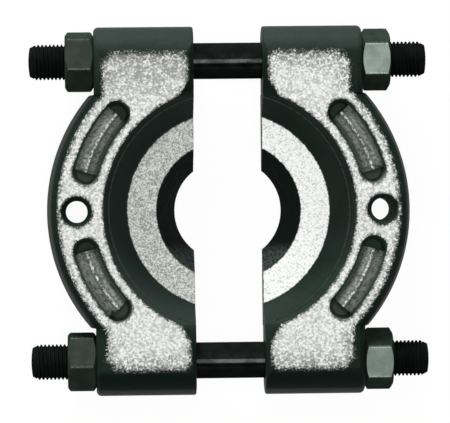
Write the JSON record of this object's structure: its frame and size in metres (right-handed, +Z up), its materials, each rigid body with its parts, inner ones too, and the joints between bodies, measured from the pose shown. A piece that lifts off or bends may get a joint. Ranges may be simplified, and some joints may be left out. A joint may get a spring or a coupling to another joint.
{
  "type": "bearing separator",
  "caption": "Bearing separator: half-round forged jaws with bevelled knife edges slide on threaded studs and are drawn together by hexagon nuts.",
  "frame": {"origin": "middle of the gap between the jaws, midway between the studs, in the plane of the flat undersides", "axes": "+X along the studs, +Y across them towards the upper stud, +Z up from the flat undersides to the dished faces"},
  "size_m": [0.154, 0.1426, 0.026],
  "materials": {
    "forged_jaw": "black phosphated forging with bright ground flats",
    "black_stud": "black oxide, satin",
    "dark_nut": "dark grey-green phosphate, satin"
  },
  "bodies": {
    "studs": {"upper_stud": "black_stud", "lower_stud": "black_stud"},
    "left_jaw": {"left_jaw": "forged_jaw"},
    "right_jaw": {"right_jaw": "forged_jaw"},
    "upper_left_nut": {"upper_left_nut": "dark_nut"},
    "lower_left_nut": {"lower_left_nut": "dark_nut"},
    "upper_right_nut": {"upper_right_nut": "dark_nut"},
    "lower_right_nut": {"lower_right_nut": "dark_nut"}
  },
  "joints": [
    {"name": "left_jaw_slide", "type": "slide", "parent": "studs", "child": "left_jaw", "axis": [1, 0, 0], "range_m": [-0.01125, 0.0132]},
    {"name": "right_jaw_slide", "type": "slide", "parent": "studs", "child": "right_jaw", "axis": [1, 0, 0], "range_m": [-0.0132, 0.01125]},
    {"name": "upper_left_nut_turn", "type": "hinge", "parent": "left_jaw", "child": "upper_left_nut", "pos_m": [-0.0574, 0.058, 0.013], "axis": [1, 0, 0], "range_deg": [-2701, 3169]},
    {"name": "lower_left_nut_turn", "type": "hinge", "parent": "left_jaw", "child": "lower_left_nut", "pos_m": [-0.0574, -0.058, 0.013], "axis": [1, 0, 0], "range_deg": [-2701, 3169]},
    {"name": "upper_right_nut_turn", "type": "hinge", "parent": "right_jaw", "child": "upper_right_nut", "pos_m": [0.0574, 0.058, 0.013], "axis": [1, 0, 0], "range_deg": [-3169, 2701]},
    {"name": "lower_right_nut_turn", "type": "hinge", "parent": "right_jaw", "child": "lower_right_nut", "pos_m": [0.0574, -0.058, 0.013], "axis": [1, 0, 0], "range_deg": [-3169, 2701]}
  ],
  "couplings": [
    {"joint": "upper_left_nut_turn", "follows": "left_jaw_slide", "rad_per_m": 4188.8},
    {"joint": "lower_left_nut_turn", "follows": "left_jaw_slide", "rad_per_m": 4188.8},
    {"joint": "upper_right_nut_turn", "follows": "right_jaw_slide", "rad_per_m": 4188.8},
    {"joint": "lower_right_nut_turn", "follows": "right_jaw_slide", "rad_per_m": 4188.8}
  ]
}
